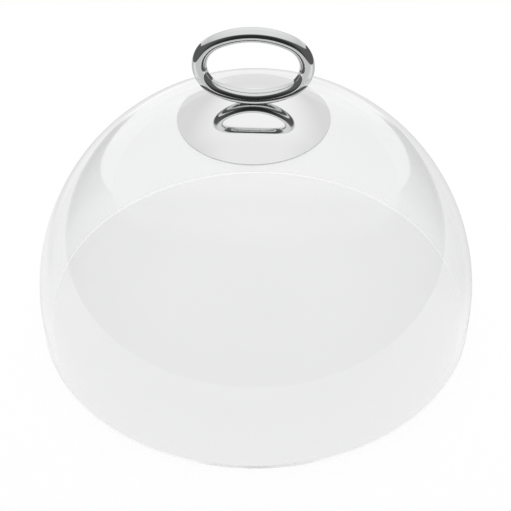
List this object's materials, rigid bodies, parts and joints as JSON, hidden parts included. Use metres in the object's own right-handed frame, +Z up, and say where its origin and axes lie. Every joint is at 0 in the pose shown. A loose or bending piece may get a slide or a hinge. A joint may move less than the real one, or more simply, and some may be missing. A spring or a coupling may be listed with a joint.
{
  "type": "food cover dome",
  "caption": "Clear round dome cover with a straight rim band, a dished polished plate on its crown and an upright oval ring handle, set over food on a buffet.",
  "frame": {"origin": "centre of the circle that the rim's underside stands on", "axes": "+Z up along the dome's axis, X along the width of the ring handle, the ring's face towards -Y"},
  "size_m": [0.3, 0.3, 0.2241],
  "materials": {
    "clear_acrylic": "clear, polished inside and out",
    "clear_silicone": "soft, translucent",
    "polished_steel": "mirror polished",
    "chromed_bar": "bright chromium plate",
    "white_nylon": "moulded, satin",
    "washer_steel": "bright stainless",
    "spring_steel": "plain stainless",
    "screw_steel": "bright stainless"
  },
  "bodies": {
    "root": {"dome_shell": "clear_acrylic", "plate_gasket": "clear_silicone", "cover_plate": "polished_steel", "ring_handle": "chromed_bar", "shoulder_bush": "white_nylon", "inner_seal": "clear_silicone", "flat_washer": "washer_steel", "spring_washer": "spring_steel", "handle_screw": "screw_steel"}
  },
  "joints": []
}
